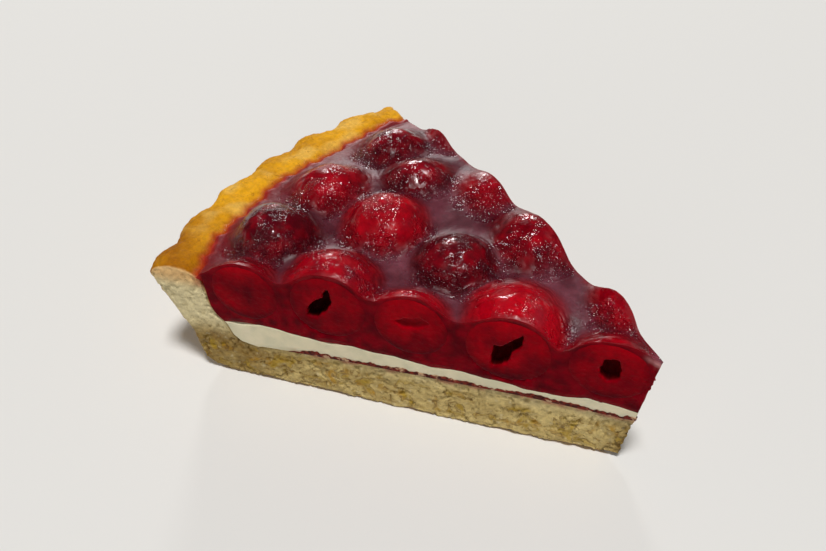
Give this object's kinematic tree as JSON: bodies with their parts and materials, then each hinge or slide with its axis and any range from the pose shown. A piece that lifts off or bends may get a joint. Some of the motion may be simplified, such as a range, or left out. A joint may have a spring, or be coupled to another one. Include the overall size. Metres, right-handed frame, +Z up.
{
  "type": "cherry pie slice",
  "caption": "Wedge of open cherry pie: fluted short crust with jam, cream and whole cherries set in glossy jelly; layers and halved fruit show at both cut faces.",
  "frame": {"origin": "on the flat underside, below the middle of the slice's bounding box", "axes": "+X towards the slice's tip, +Z up; the rim lies towards -X, and the two cut faces look towards -Y and +Y"},
  "size_m": [0.1211, 0.089, 0.0437],
  "materials": {
    "crust": "baked short crust, golden on the rim and pale and crumbly where cut",
    "jam": "thin dark red spread",
    "cream": "smooth ivory cream",
    "jelly": "set jelly with a wet gloss",
    "cherry": "wet red cherry skin and flesh"
  },
  "bodies": {
    "root": {"crust": "crust", "jam_layer": "jam", "cream_layer": "cream", "jelly": "jelly", "cherry_01": "cherry", "cherry_02": "cherry", "cherry_03": "cherry", "cherry_04": "cherry", "cherry_05": "cherry", "cherry_06": "cherry", "cherry_07": "cherry", "cherry_08": "cherry", "cherry_09": "cherry", "cherry_10": "cherry", "cherry_11": "cherry", "cherry_12": "cherry", "cherry_13": "cherry", "cherry_14": "cherry", "cherry_15": "cherry"}
  },
  "joints": []
}
